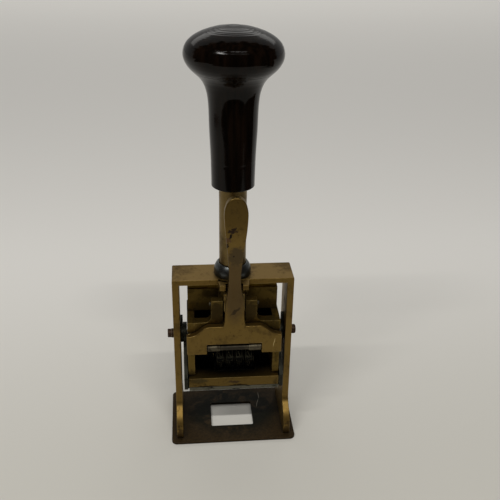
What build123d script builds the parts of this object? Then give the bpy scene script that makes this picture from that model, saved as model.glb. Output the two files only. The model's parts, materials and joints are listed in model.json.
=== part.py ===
from build123d import *
import math
import os

# Hand numbering machine: a sprung plunger carries four number wheels down through a yoke on a
# windowed base plate, and the ink tray under the wheels swings back out of the way as they go.
# Millimetres. +X right, +Y to the rear, +Z up; the origin is the centre of the base's underside.

# Base plate
BASE_W, BASE_D, BASE_T = 68.0, 44.0, 1.4
BASE_CORNER_R = 3.0
WINDOW_W, WINDOW_D = 23.6, 19.4

# Yoke
YOKE_HALF_W = 31.2
YOKE_HALF_D = 8.65
YOKE_TOP = 95.2
LEG_T = 3.5
BAR_T = 2.8
LEG_IN = YOKE_HALF_W - LEG_T
FOOT_REACH = 18.6
ANKLE_Z, INSTEP_Z = 18.3, 10.4
ANKLE_R, INSTEP_R = 6.0, 12.0
FOOT_SCREW_Y = 13.4
EDGE = 0.35

# Travel
STROKE = 37.8
SWING = math.radians(120.0)

# Plunger tube, bush and ring
TUBE_R, TUBE_BORE_R = 6.85, 5.4
TUBE_BOTTOM, TUBE_TOP = 70.0, 184.0
BUSH_R = 8.0
RUN = 0.06
RING_R, RING_TOP = 9.5, 101.5
STOP_Z, STOP_R = 98.2, 1.1

# Handle
HANDLE_BOTTOM = 142.9
HANDLE_TOP = 217.3

# Carriage
CAR_HALF_W = 24.0
CAR_FRONT, CAR_REAR = -15.0, 8.4
CHEEK_T = 3.5
CHEEK_SCREW_Z = 68.0
SHOULDER_TOP = 74.0
WALL_T = 3.0
BLOCK_HALF_W = CAR_HALF_W - 0.5
BLOCK_FRONT, BLOCK_BOTTOM, BLOCK_TOP = -2.6, 65.0, 87.0
SOCKET_R = 7.8
POST_IN, POST_OUT, POST_TOP, POST_D = 5.7, 11.75, 86.4, 4.5
REAR_PLATE_T = 0.9
REAR_PLATE_BOTTOM, REAR_PLATE_TOP = 44.7, 72.5

# Swing pivot and ink tray
PIVOT_Z = 58.6
SWEEP_R = 17.1
CAR_BOTTOM = PIVOT_Z - SWEEP_R
PIN_R, PIN_HEAD_R = 1.5, 2.5
SLOT_W = 3.3
FOLLOWER_R, FOLLOWER_ARM = 1.1, 6.4
FOLLOWER_START = math.radians(30.0)
GROOVE_W, GROOVE_D = 2.5, 1.8
ARM_IN, ARM_T = CAR_HALF_W + 0.3, 2.0
HUB_R = 5.75
TRAY_HALF_W = 23.7
TRAY_FRONT, TRAY_REAR = -18.0, 7.6
TRAY_BOTTOM, TRAY_SPLIT, TRAY_TOP = 33.0, 35.5, 41.0
PAN_HALF_W, PAN_FRONT, PAN_REAR = 10.9, -11.4, 6.4

# Number wheels
WHEELS = 4
WHEEL_PITCH = 5.1
WHEEL_MID_X, WHEEL_Y, WHEEL_Z = 1.0, -2.0, 48.0
TYPE_R, DRUM_R = 10.0, 9.1
DRUM_W = 3.75
RATCHET_W, RATCHET_R, RATCHET_ROOT_R = 0.9, 8.3, 7.2
AXLE_R = 1.95
DIGITS = 10

# Thumb lever and pawl
LEVER_T = 3.7
LEVER_FRONT = -19.0
LEVER_BACK = LEVER_FRONT + LEVER_T
LEVER_PIVOT_Y, LEVER_PIVOT_Z = -12.75, 83.9
LEVER_PIN_R = 1.0
LEVER_BOTTOM, NOTCH_HALF_W, NOTCH_TOP = 57.0, 14.1, 62.8
LEVER_HALF_W = 24.4
PAD_LEAN = 5.5
LUG_IN, LUG_OUT, LUG_R, LUG_TOP = 3.6, 5.3, 3.0, 90.6
ROD_Y, ROD_Z, ROD_R = -17.15, 59.9, 1.5
KNUCKLE_R, KNUCKLE_IN, KNUCKLE_OUT = 1.95, 7.5, 13.7


def block(x0, x1, y0, y1, z0, z1):
    """Box between two corners."""
    return Pos((x0 + x1) / 2, (y0 + y1) / 2, (z0 + z1) / 2) * Box(x1 - x0, y1 - y0, z1 - z0)


def bar_x(radius, x0, x1, y, z):
    """Round bar along X."""
    return Pos((x0 + x1) / 2, y, z) * Rot(0, 90, 0) * Cylinder(radius, x1 - x0)


def bar_y(radius, y0, y1, x, z):
    """Round bar along Y."""
    return Pos(x, (y0 + y1) / 2, z) * Rot(90, 0, 0) * Cylinder(radius, y1 - y0)


def bar_z(radius, z0, z1, x=0.0, y=0.0):
    """Round bar along Z."""
    return Pos(x, y, (z0 + z1) / 2) * Cylinder(radius, z1 - z0)


def tube_z(radius, bore, z0, z1):
    """Round tube on the plunger's axis."""
    return bar_z(radius, z0, z1) - bar_z(bore, z0 - 1, z1 + 1)


def side_plate(sketch, x0, x1):
    """A sketch drawn in Y and Z, as a plate from x0 to x1."""
    return extrude(Plane.YZ.offset(x0) * sketch, x1 - x0)


def front_plate(sketch, y0, y1):
    """A sketch drawn in X and Z, as a plate from y0 to y1."""
    return extrude(Plane.XZ.offset(-y1) * sketch, y1 - y0)


def outline(points):
    """Straight-sided face through the points."""
    return make_face(Polyline(*points, close=True))


def both_sides(piece):
    """A piece and its mirror image across the middle."""
    return piece + mirror(piece, Plane.YZ)


def soften(piece, axis, radius=EDGE):
    """Round the straight edges that run along one axis."""
    return fillet(piece.edges().filter_by(axis), radius)


# ---------------------------------------------------------------- frame

def base_plate():
    """Rounded plate with the printing window and four countersunk holes."""
    shape = RectangleRounded(BASE_W, BASE_D, BASE_CORNER_R)
    shape -= RectangleRounded(WINDOW_W, WINDOW_D, 0.8)
    plate = extrude(shape, BASE_T)
    for x, y in foot_screw_places():
        plate -= foot_screw_shape(x, y)
    return plate


def foot_screw_places():
    """One screw at each end of both feet."""
    x = YOKE_HALF_W - LEG_T / 2
    return [(sx * x, sy * FOOT_SCREW_Y) for sx in (-1, 1) for sy in (-1, 1)]


def foot_screw_shape(x, y):
    """Countersunk screw from the underside, up into a foot."""
    shank, head, head_h = 0.9, 1.6, 0.7
    cone = Pos(x, y, head_h / 2) * Cone(head, shank, head_h)
    return cone + bar_z(shank, head_h, BASE_T + 3.2, x, y)


def foot_screws():
    """The four screws, with a driver slot in each head."""
    screws = []
    for x, y in foot_screw_places():
        screws.append(foot_screw_shape(x, y) - block(x - 2, x + 2, y - 0.2, y + 0.2, -0.1, 0.3))
    return Compound(children=screws)


def leg_profile():
    """Side view of a leg: straight above, with a sloping instep out to each foot's toe."""
    toe, leg = FOOT_REACH, YOKE_HALF_D
    right = [(toe, BASE_T), (toe, INSTEP_Z), (leg, ANKLE_Z), (leg, YOKE_TOP)]
    shape = outline(right + [(-y, z) for y, z in reversed(right)])
    for height, radius in ((ANKLE_Z, ANKLE_R), (INSTEP_Z, INSTEP_R)):
        bends = shape.vertices().filter_by_position(Axis.Y, height - 0.1, height + 0.1)
        shape = fillet(bends, radius)
    return shape


def pin_slot():
    """Through slot that lets a side pin ride down a leg."""
    length = STROKE + SLOT_W
    return Pos(0, PIVOT_Z - STROKE / 2) * Rot(0, 0, 90) * SlotOverall(length, SLOT_W)


def cam_groove():
    """Path of the follower pin down a leg while the tray swings and the carriage drops."""
    steps = 12
    points = []
    for i in range(steps + 1):
        part = i / steps
        angle = FOLLOWER_START + SWING * part
        y = FOLLOWER_ARM * math.sin(angle)
        z = PIVOT_Z - STROKE * part - FOLLOWER_ARM * math.cos(angle)
        points.append((y, z))
    path = Spline(*points)
    ends = [Pos(*p) * Circle(GROOVE_W / 2) for p in (points[0], points[-1])]
    return trace(path, GROOVE_W) + ends


def frame_yoke():
    """Yoke: two footed legs and the top bar, with the pin slots and the cam grooves."""
    leg = side_plate(leg_profile(), LEG_IN, YOKE_HALF_W)
    leg -= side_plate(pin_slot(), LEG_IN - 1, YOKE_HALF_W + 1)
    leg -= side_plate(cam_groove(), LEG_IN - 1, LEG_IN + GROOVE_D)
    bar = block(-LEG_IN, LEG_IN, -YOKE_HALF_D, YOKE_HALF_D, YOKE_TOP - BAR_T, YOKE_TOP)
    yoke = both_sides(leg) + bar
    yoke -= bar_z(BUSH_R, YOKE_TOP - BAR_T - 1, YOKE_TOP + 1)
    for x, y in foot_screw_places():
        yoke -= bar_z(0.9, 0, BASE_T + 3.2, x, y)
    corners = yoke.edges().filter_by(Axis.Y).filter_by_position(Axis.Z, YOKE_TOP - 0.1, YOKE_TOP + 0.1)
    return fillet(corners, 2 * EDGE)


def lever_guide():
    """Forked tongue on the front of the top bar, slotted for the lever's stem."""
    reach, root_half, tip_half, slot_half, slot_depth = 6.15, 8.0, 7.3, 4.2, 1.8
    y0, y1 = -YOKE_HALF_D - reach, -YOKE_HALF_D
    shape = outline([(-tip_half, y0), (tip_half, y0), (root_half, y1), (-root_half, y1)])
    shape -= Pos(0, y0) * Rectangle(2 * slot_half, 2 * slot_depth)
    tongue = extrude(Plane.XY.offset(YOKE_TOP - 3.0) * shape, 3.0)
    return soften(tongue, Axis.Z, 0.25)


def guide_bush():
    """Bush in the top bar that the plunger runs in, cross-drilled for the stop pin."""
    bush = tube_z(BUSH_R, TUBE_R + RUN, YOKE_TOP - BAR_T, STOP_Z + 1.8)
    return bush - bar_x(STOP_R, -10, 10, 0, STOP_Z)


def buffer_ring():
    """Domed collar over the bush, where the handle lands."""
    mouth = TUBE_R + 0.25
    inner = BUSH_R + 0.05
    step = STOP_Z + 1.85
    dome_z, dome_r = YOKE_TOP + 1.6, 7.5
    edge = [
        Line((inner, YOKE_TOP), (RING_R, YOKE_TOP)),
        Line((RING_R, YOKE_TOP), (RING_R, dome_z)),
        TangentArc((RING_R, dome_z), (dome_r, RING_TOP), tangent=(0, 1)),
        Line((dome_r, RING_TOP), (mouth, RING_TOP)),
        Line((mouth, RING_TOP), (mouth, step)),
        Line((mouth, step), (inner, step)),
        Line((inner, step), (inner, YOKE_TOP)),
    ]
    return revolve(Plane.XZ * make_face(edge), Axis.Z)


def stop_pin():
    """Cross pin that holds the plunger's travel and carries the return spring."""
    return bar_x(STOP_R, -BUSH_R, BUSH_R, 0, STOP_Z)


def spring_seat():
    """Loose disc on the stop pin, under the return spring."""
    return bar_z(TUBE_BORE_R - 0.3, STOP_Z + STOP_R, STOP_Z + STOP_R + 1.0)


def return_spring():
    """Coil spring inside the tube, from its seat up to the plug."""
    wire, coil_r, turns = 0.45, 4.3, 16
    bottom = STOP_Z + STOP_R + 1.0 + wire
    top = TUBE_TOP - 10.0 - wire
    pitch = (top - bottom) / turns
    path = Helix(pitch, top - bottom, coil_r)
    section = Plane(origin=path @ 0, z_dir=path % 0) * Circle(wire)
    return Pos(0, 0, bottom) * sweep(section, path, is_frenet=True)


# ---------------------------------------------------------------- plunger and handle

def plunger_tube():
    """Brass tube with a slot each side for the stop pin."""
    tube = tube_z(TUBE_R, TUBE_BORE_R, TUBE_BOTTOM, TUBE_TOP)
    low, high = STOP_Z - STOP_R - 0.1, STOP_Z + STROKE + STOP_R + 0.1
    slot = Pos(0, (low + high) / 2) * Rot(0, 0, 90) * SlotOverall(high - low, 2 * STOP_R + 0.2)
    return tube - side_plate(slot, -10, 10)


def tube_plug():
    """Plug in the top of the tube that the spring pushes against."""
    return bar_z(TUBE_BORE_R, TUBE_TOP - 10.0, TUBE_TOP)


def handle():
    """Turned palm handle: tapered grip flaring to a flattened mushroom knob."""
    bore = TUBE_R
    grip = [(10.5, HANDLE_BOTTOM + 1.1), (10.85, 160.0), (11.4, 173.0)]
    flare = [(11.85, 184.5), (12.95, 190.1), (16.0, 195.3), (19.3, 198.3), (22.75, 204.8)]
    dome = [(21.4, 209.6), (17.0, 213.3), (9.6, 216.1), (0, HANDLE_TOP)]
    edge = [
        Line((bore, HANDLE_BOTTOM), (9.6, HANDLE_BOTTOM)),
        TangentArc((9.6, HANDLE_BOTTOM), grip[0], tangent=(1, 0)),
        Spline(*grip, *flare, *dome, tangents=[(0.02, 1), (-1, 0)]),
        Line((0, HANDLE_TOP), (0, TUBE_TOP)),
        Line((0, TUBE_TOP), (bore, TUBE_TOP)),
        Line((bore, TUBE_TOP), (bore, HANDLE_BOTTOM)),
    ]
    return revolve(Plane.XZ * make_face(edge), Axis.Z)


# ---------------------------------------------------------------- carriage

def head_block():
    """Block across the top of the carriage that holds the foot of the plunger."""
    body = block(-BLOCK_HALF_W, BLOCK_HALF_W, BLOCK_FRONT, CAR_REAR, BLOCK_BOTTOM, BLOCK_TOP)
    body = soften(body, Axis.X)
    body += bar_z(SOCKET_R, BLOCK_BOTTOM, BLOCK_TOP)
    body -= bar_z(TUBE_R, TUBE_BOTTOM, BLOCK_TOP + 1)
    for screw in right_cheek_screws() + rear_screw_shapes():
        body -= both_sides(screw)
    return body - detent_screws()


def shoulder_slots():
    """The two square openings in the shoulder's top."""
    return both_sides(block(12.9, 20.0, -9.9, BLOCK_FRONT - 0.2, BLOCK_BOTTOM, SHOULDER_TOP + 1))


def post_profile():
    """Front view of a lever post, with a round sweep into the shoulder."""
    sweep_r = 3.5
    foot_x = POST_OUT + sweep_r
    edge = [
        Line((POST_IN, SHOULDER_TOP - 1), (POST_IN, POST_TOP)),
        Line((POST_IN, POST_TOP), (POST_OUT, POST_TOP)),
        Line((POST_OUT, POST_TOP), (POST_OUT, SHOULDER_TOP + sweep_r)),
        TangentArc((POST_OUT, SHOULDER_TOP + sweep_r), (foot_x, SHOULDER_TOP), tangent=(0, -1)),
        Line((foot_x, SHOULDER_TOP), (foot_x, SHOULDER_TOP - 1)),
        Line((foot_x, SHOULDER_TOP - 1), (POST_IN, SHOULDER_TOP - 1)),
    ]
    return make_face(edge)


def carriage_front():
    """Front casting: wall, slotted shoulder and the two posts that hold the lever."""
    half = CAR_HALF_W - CHEEK_T
    wall = block(-half, half, CAR_FRONT, CAR_FRONT + WALL_T, BLOCK_BOTTOM, SHOULDER_TOP)
    shoulder = block(-half, half, CAR_FRONT, BLOCK_FRONT, SHOULDER_TOP - 3.2, SHOULDER_TOP)
    post = front_plate(post_profile(), CAR_FRONT, CAR_FRONT + POST_D)
    piece = wall + shoulder - shoulder_slots() + both_sides(post)
    piece -= bar_x(LEVER_PIN_R, -20, 20, LEVER_PIVOT_Y, LEVER_PIVOT_Z)
    piece -= bar_z(SOCKET_R, BLOCK_BOTTOM, SHOULDER_TOP + 1)
    for screw in right_cheek_screws():
        piece -= both_sides(screw)
    tops = piece.edges().filter_by_position(Axis.Z, POST_TOP - 0.05, POST_TOP + 0.05)
    return fillet(tops, 0.5)


def cheek_profile():
    """Side view of a cheek: straight at the front, cut to an arc where the tray swings past."""
    rear_z = PIVOT_Z - math.sqrt(SWEEP_R ** 2 - CAR_REAR ** 2)
    edge = [
        Line((0, CAR_BOTTOM), (CAR_FRONT, CAR_BOTTOM)),
        Line((CAR_FRONT, CAR_BOTTOM), (CAR_FRONT, SHOULDER_TOP)),
        Line((CAR_FRONT, SHOULDER_TOP), (CAR_REAR, SHOULDER_TOP)),
        Line((CAR_REAR, SHOULDER_TOP), (CAR_REAR, rear_z)),
        TangentArc((0, CAR_BOTTOM), (CAR_REAR, rear_z), tangent=(1, 0)),
    ]
    return make_face(edge)


def right_cheek_screws():
    """Countersunk screws into the front wall and the head block, with flush heads outside."""
    shank, head, head_h = 1.0, 1.9, 0.9
    screws = []
    for y in (CAR_FRONT + WALL_T / 2, CAR_REAR - 4.0):
        cone = Cone(shank, head, head_h)
        cone = Pos(CAR_HALF_W - head_h / 2, y, CHEEK_SCREW_Z) * Rot(0, 90, 0) * cone
        screws.append(cone + bar_x(shank, CAR_HALF_W - 6.0, CAR_HALF_W - head_h, y, CHEEK_SCREW_Z))
    return screws


def right_cheek():
    """Right side of the carriage, bored for the axle and the side pin."""
    cheek = side_plate(cheek_profile(), CAR_HALF_W - CHEEK_T, CAR_HALF_W)
    cheek -= bar_x(AXLE_R, 0, 40, WHEEL_Y, WHEEL_Z)
    cheek -= bar_x(PIN_R, 0, 40, 0, PIVOT_Z)
    cheek -= block(0, BLOCK_HALF_W, BLOCK_FRONT, 20, BLOCK_BOTTOM, 100)
    for screw in right_cheek_screws() + rear_screw_shapes():
        cheek -= screw
    return cheek


def cheek_screws():
    """Four countersunk screws that hold the cheeks."""
    low, high = CHEEK_SCREW_Z - 0.2, CHEEK_SCREW_Z + 0.2
    driver_slot = block(CAR_HALF_W - 0.4, CAR_HALF_W + 1, -30, 30, low, high)
    right = [screw - driver_slot for screw in right_cheek_screws()]
    return Compound(children=right + [mirror(screw, Plane.YZ) for screw in right])


def rear_screw_centres():
    """X and Z of the right half's rear screws: one in the cheek, one in the head block."""
    return [(CAR_HALF_W - CHEEK_T / 2, REAR_PLATE_BOTTOM + 3.8), (15.0, REAR_PLATE_TOP - 3.2)]


def rear_screw(x, z):
    """Round-headed screw through the rear plate."""
    back = CAR_REAR + REAR_PLATE_T
    return bar_y(0.9, CAR_REAR - 3.0, back, x, z) + bar_y(1.5, back, back + 0.6, x, z)


def rear_screw_shapes():
    """The right half's rear screws, as holes."""
    return [rear_screw(x, z) for x, z in rear_screw_centres()]


def rear_plate():
    """Thin plate that closes the back of the carriage, inside the tray's sweep."""
    half = CAR_HALF_W - 0.1
    plate = block(-half, half, CAR_REAR, CAR_REAR + REAR_PLATE_T, REAR_PLATE_BOTTOM, REAR_PLATE_TOP)
    plate = soften(plate, Axis.Y, 1.0)
    for screw in rear_screw_shapes():
        plate -= both_sides(screw)
    return plate


def rear_screws():
    """Four round screws that hold the rear plate, with a driver slot in each head."""
    screws = []
    slot_y = CAR_REAR + REAR_PLATE_T + 0.3
    for x, z in rear_screw_centres():
        slot = block(x - 2, x + 2, slot_y, slot_y + 1, z - 0.2, z + 0.2)
        screws.append(rear_screw(x, z) - slot)
    return Compound(children=screws + [mirror(screw, Plane.YZ) for screw in screws])


def wheel_axle():
    """Axle through both cheeks that the number wheels turn on."""
    return bar_x(AXLE_R, -CAR_HALF_W, CAR_HALF_W, WHEEL_Y, WHEEL_Z)


def lever_pin():
    """Cross pin through the posts and the lever's lug."""
    end = POST_OUT + 1.0
    pin = bar_x(LEVER_PIN_R, -end, end, LEVER_PIVOT_Y, LEVER_PIVOT_Z)
    return chamfer(pin.edges().filter_by(GeomType.CIRCLE), 0.2)


def side_pin_right():
    """Right pivot pin, with a small round head outside the leg."""
    head_in, head_out = YOKE_HALF_W + 0.15, YOKE_HALF_W + 3.4
    pin = bar_x(PIN_R, CAR_HALF_W - CHEEK_T, head_in, 0, PIVOT_Z)
    head = bar_x(PIN_HEAD_R, head_in, head_out, 0, PIVOT_Z)
    rim = head.edges().filter_by_position(Axis.X, head_out - 0.01, head_out + 0.01)
    return pin + fillet(rim, 0.8)


def side_pin_left():
    """Left pivot pin, with a longer head that has a collar behind it."""
    collar_in, collar_out, head_out = YOKE_HALF_W + 0.15, YOKE_HALF_W + 1.3, YOKE_HALF_W + 3.4
    pin = bar_x(PIN_R, -collar_in, -(CAR_HALF_W - CHEEK_T), 0, PIVOT_Z)
    collar = bar_x(PIN_HEAD_R, -collar_out, -collar_in, 0, PIVOT_Z)
    head = bar_x(PIN_HEAD_R - 0.2, -head_out, -collar_out, 0, PIVOT_Z)
    rim = head.edges().filter_by_position(Axis.X, -head_out - 0.01, -head_out + 0.01)
    return pin + collar + fillet(rim, 0.4)


def wear_plate_right():
    """Thin washer between the arm and the leg, with a tab that stands up above the pin."""
    x0 = ARM_IN + ARM_T + 0.05
    radius, tab_top, tab_w = 5.0, 11.1, 3.0
    shape = Pos(0, PIVOT_Z) * Circle(radius)
    shape += Pos(0, PIVOT_Z + tab_top / 2) * Rot(0, 0, 90) * SlotOverall(tab_top, tab_w)
    shape -= Pos(0, PIVOT_Z) * Circle(PIN_R)
    return side_plate(shape, x0, LEG_IN - 0.1)


def detent_spring():
    """Leaf comb under the head block, with one finger behind each wheel's ratchet."""
    strip_z = BLOCK_BOTTOM - 0.8
    comb = block(-11.0, 12.4, 3.0, 7.2, strip_z, BLOCK_BOTTOM)
    for x in ratchet_centres():
        comb += finger(x, 6.8, strip_z + 0.2, 5.6, WHEEL_Z + 5.5)
    return comb - detent_screws()


def detent_screws():
    """Two round screws that hold the leaf comb up under the block."""
    screws = []
    for x in (-9.0, 10.4):
        shank = bar_z(0.8, BLOCK_BOTTOM - 0.8, BLOCK_BOTTOM + 3.5, x, 5.0)
        head = bar_z(1.4, BLOCK_BOTTOM - 1.6, BLOCK_BOTTOM - 0.8, x, 5.0)
        screws.append(shank + head)
    return Compound(children=screws)


def finger(x, y0, z0, y1, z1):
    """Thin finger in the slot beside a ratchet, from a strip to just off the teeth."""
    half = 0.5
    shape = outline([(y0 - half, z0), (y0 + half, z0), (y1 + half, z1), (y1 - half, z1)])
    return side_plate(shape, x - 0.3, x + 0.3)


def lever_spring():
    """Torsion spring on the lever pin, with one leg behind the stem and one on the shoulder."""
    wire, coil_r, pitch, turns = 0.25, 1.35, 0.56, 9.5
    path = Helix(pitch, pitch * turns, coil_r)
    coil = sweep(Plane(origin=path @ 0, z_dir=path % 0) * Circle(wire), path, is_frenet=True)
    back = Plane(origin=path @ 0, z_dir=-(path % 0)) * Circle(wire)
    front = Plane(origin=path @ 1, z_dir=path % 1) * Circle(wire)
    coil += [extrude(back, LEVER_PIVOT_Z - SHOULDER_TOP), extrude(front, 4.6)]
    return Pos(-pitch * turns / 2, LEVER_PIVOT_Y, LEVER_PIVOT_Z) * Rot(0, 90, 0) * Rot(0, 0, 90) * coil


# ---------------------------------------------------------------- ink tray and its arms

def ink_tray():
    """Brass ink trough with a pan for the pad under the wheels."""
    tray = block(-TRAY_HALF_W, TRAY_HALF_W, TRAY_FRONT, TRAY_REAR, TRAY_SPLIT, TRAY_TOP)
    tray = soften(tray, Axis.X)
    left, right = WHEEL_MID_X - PAN_HALF_W, WHEEL_MID_X + PAN_HALF_W
    tray -= block(left, right, PAN_FRONT, PAN_REAR, TRAY_SPLIT - 1, TRAY_TOP + 1)
    for screw in right_arm_screws():
        tray -= both_sides(screw)
    return tray


def tray_plate():
    """Steel bottom plate of the trough, seen as a bright strip below the brass."""
    plate = block(-TRAY_HALF_W, TRAY_HALF_W, TRAY_FRONT + 0.2, TRAY_REAR, TRAY_BOTTOM, TRAY_SPLIT)
    return soften(plate, Axis.X)


def ink_pad():
    """Felt pad in the pan, just under the type."""
    gap = 0.3
    pad_top = WHEEL_Z - TYPE_R - 0.3
    left, right = WHEEL_MID_X - PAN_HALF_W + gap, WHEEL_MID_X + PAN_HALF_W - gap
    return block(left, right, PAN_FRONT + gap, PAN_REAR - gap, TRAY_SPLIT, pad_top)


def right_arm_screws():
    """Countersunk screws through the right arm into the end of the tray."""
    shank, head, head_h = 0.9, 1.7, 0.8
    outer = ARM_IN + ARM_T
    screws = []
    for y in (-12.6, 2.0):
        cone = Pos(outer - head_h / 2, y, 37.6) * Rot(0, 90, 0) * Cone(shank, head, head_h)
        screws.append(cone + bar_x(shank, TRAY_HALF_W - 4.0, outer - head_h, y, 37.6))
    return screws


def arm_profile():
    """Side view of a swing arm: a round hub with two straight sides down to the tray's end."""
    low, high = 33.2, 40.8
    shoulders = [(-4.9, PIVOT_Z - 3.0), (4.9, PIVOT_Z - 3.0)]
    foot = [(5.6, high), (5.6, low), (-17.4, low), (-17.4, high)]
    shape = outline(shoulders + foot)
    shape = fillet(shape.vertices().filter_by_position(Axis.Y, low - 0.1, low + 0.1), 1.2)
    return shape + Pos(0, PIVOT_Z) * Circle(HUB_R)


def right_arm():
    """Right swing arm."""
    arm = side_plate(arm_profile(), ARM_IN, ARM_IN + ARM_T)
    arm -= bar_x(PIN_R + RUN, 0, 40, 0, PIVOT_Z)
    arm -= follower(ARM_IN, 40)
    arm += block(TRAY_HALF_W, ARM_IN, -17.0, 5.2, 34.2, 40.2)
    for screw in right_arm_screws():
        arm -= screw
    return arm


def follower(x0, x1):
    """Follower pin on the right, from x0 to x1."""
    y = FOLLOWER_ARM * math.sin(FOLLOWER_START)
    z = PIVOT_Z - FOLLOWER_ARM * math.cos(FOLLOWER_START)
    return bar_x(FOLLOWER_R, x0, x1, y, z)


def cam_followers():
    """A follower pin on each arm, running in its leg's groove."""
    right = follower(ARM_IN, LEG_IN + GROOVE_D - 0.3)
    return Compound(children=[right, mirror(right, Plane.YZ)])


def arm_screws():
    """Four flush screws that hold the arms to the tray, with a driver slot in each head."""
    outer = ARM_IN + ARM_T
    driver_slot = block(outer - 0.35, outer + 1, -30, 30, 37.4, 37.8)
    right = [screw - driver_slot for screw in right_arm_screws()]
    return Compound(children=right + [mirror(screw, Plane.YZ) for screw in right])


# ---------------------------------------------------------------- number wheels

def wheel_centres():
    """X of the middle of each wheel, with its ratchet."""
    first = WHEEL_MID_X - WHEEL_PITCH * (WHEELS - 1) / 2
    return [first + WHEEL_PITCH * i for i in range(WHEELS)]


def drum_start(centre):
    """Left face of a wheel's drum."""
    return centre - (DRUM_W + RATCHET_W) / 2


def ratchet_centres():
    """X of the middle of each wheel's ratchet."""
    return [drum_start(x) + DRUM_W + RATCHET_W / 2 for x in wheel_centres()]


def ratchet_profile():
    """Ten saw teeth."""
    points = []
    for tooth in range(DIGITS):
        start = 2 * math.pi * tooth / DIGITS
        end = start + 2 * math.pi * 0.82 / DIGITS
        points.append((RATCHET_ROOT_R * math.cos(start), RATCHET_ROOT_R * math.sin(start)))
        points.append((RATCHET_R * math.cos(end), RATCHET_R * math.sin(end)))
    return outline(points)


def number_wheel(centre):
    """Drum with ten raised type faces and a ratchet on its right side."""
    x = drum_start(centre)
    here = Pos(0, WHEEL_Y, WHEEL_Z)
    wheel = bar_x(DRUM_R, x, x + DRUM_W, 0, 0)
    pad = block(x + 0.2, x + DRUM_W - 0.2, -2.1, 2.1, DRUM_R - 0.5, TYPE_R)
    for digit in range(DIGITS):
        wheel += Rot(360.0 * digit / DIGITS, 0, 0) * pad
    wheel &= bar_x(TYPE_R, x, x + DRUM_W, 0, 0)
    wheel += side_plate(ratchet_profile(), x + DRUM_W, x + DRUM_W + RATCHET_W)
    wheel -= bar_x(AXLE_R + RUN, x - 1, x + WHEEL_PITCH, 0, 0)
    return here * wheel


# ---------------------------------------------------------------- thumb lever and pawl

def lever_outline():
    """Front view of the right half of the lever: T-shaped plate, waisted stem and thumb pad."""
    plate_end, plate_top = 13.3, 73.6
    stem_foot = (5.9, plate_top)
    tip = (0, 145.9)
    stem = [stem_foot, (5.3, 75.4), (4.85, 81.5), (4.35, 87.5), (3.1, 97.0), (2.95, 103.5),
            (3.4, 111.0), (4.2, 120.0), (5.15, 129.0), (5.6, 136.5)]
    shoulder = Spline((LEVER_HALF_W, 68.0), (19.4, 69.4), (plate_end, plate_top),
                      tangents=[(-1, 0), (-1, 0.25)])
    edge = [
        Line((0, NOTCH_TOP), (NOTCH_HALF_W, NOTCH_TOP)),
        Line((NOTCH_HALF_W, NOTCH_TOP), (NOTCH_HALF_W, LEVER_BOTTOM)),
        Line((NOTCH_HALF_W, LEVER_BOTTOM), (LEVER_HALF_W, LEVER_BOTTOM)),
        Line((LEVER_HALF_W, LEVER_BOTTOM), (LEVER_HALF_W, 68.0)),
        shoulder,
        Line((plate_end, plate_top), stem_foot),
        Spline(*stem),
        Spline(stem[-1], (4.85, 141.9), tip, tangents=[(0.02, 1), (-1, 0)]),
        Line(tip, (0, NOTCH_TOP)),
    ]
    return make_face(edge)


def lever_side():
    """Side view of the lever: upright below, leaning forward to the thumb pad."""
    low, high, top = 94.0, 133.0, 150.0
    out = LEVER_FRONT - PAD_LEAN
    tangents = [(0, 1), (0, 1)]
    edge = [
        Line((LEVER_FRONT, 50.0), (LEVER_FRONT, low)),
        Spline((LEVER_FRONT, low), (out, high), tangents=tangents),
        Line((out, high), (out, top)),
        Line((out, top), (out + LEVER_T, top)),
        Line((out + LEVER_T, top), (out + LEVER_T, high)),
        Spline((out + LEVER_T, high), (LEVER_BACK, low), tangents=[(0, -1), (0, -1)]),
        Line((LEVER_BACK, low), (LEVER_BACK, 50.0)),
        Line((LEVER_BACK, 50.0), (LEVER_FRONT, 50.0)),
    ]
    return make_face(edge)


def lever_lug():
    """Two ears behind the stem that turn on the cross pin."""
    root_y = LEVER_BACK - 0.5
    shape = Pos(LEVER_PIVOT_Y, LEVER_PIVOT_Z) * Circle(LUG_R)
    back = (LEVER_PIVOT_Y + 0.81 * LUG_R, LEVER_PIVOT_Z + 0.59 * LUG_R)
    low = LEVER_PIVOT_Z - LUG_R
    ear = outline([(root_y, low), (LEVER_PIVOT_Y, low), back, (-14.0, LUG_TOP), (root_y, LUG_TOP)])
    return both_sides(side_plate(shape + ear, LUG_IN, LUG_OUT))


def thumb_lever():
    """Thumb lever: plate, stem and pad in one casting, with its lug and the rod's holes."""
    half = front_plate(lever_outline(), -40, -10)
    body = both_sides(half) & side_plate(lever_side(), -30, 30)
    body += lever_lug()
    body -= bar_x(LEVER_PIN_R + RUN, -20, 20, LEVER_PIVOT_Y, LEVER_PIVOT_Z)
    return body - pawl_rod()


def pawl_rod():
    """Steel rod across the lever's notch."""
    end = NOTCH_HALF_W + 3.0
    return bar_x(ROD_R, -end, end, ROD_Y, ROD_Z)


def pawl_comb():
    """Feeding pawl: two knuckles on the rod, arms back over the wheels and a finger for each."""
    low, high = 62.0, 63.0
    right = bar_x(KNUCKLE_R, KNUCKLE_IN, KNUCKLE_OUT, ROD_Y, ROD_Z)
    arm = outline([(ROD_Y, ROD_Z - 0.5), (ROD_Y + 0.9, ROD_Z + 1.5), (-11.6, high), (-11.6, low)])
    right += side_plate(arm, KNUCKLE_IN + 1.0, KNUCKLE_OUT - 1.0)
    comb = both_sides(right) + block(1.0 - KNUCKLE_OUT, KNUCKLE_OUT - 1.0, -12.0, -9.4, low, high)
    for x in ratchet_centres():
        comb += finger(x, -9.9, low + 0.2, -8.8, WHEEL_Z + 5.9)
    return comb - bar_x(ROD_R + RUN, -20, 20, ROD_Y, ROD_Z)


# ---------------------------------------------------------------- all the pieces

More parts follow.
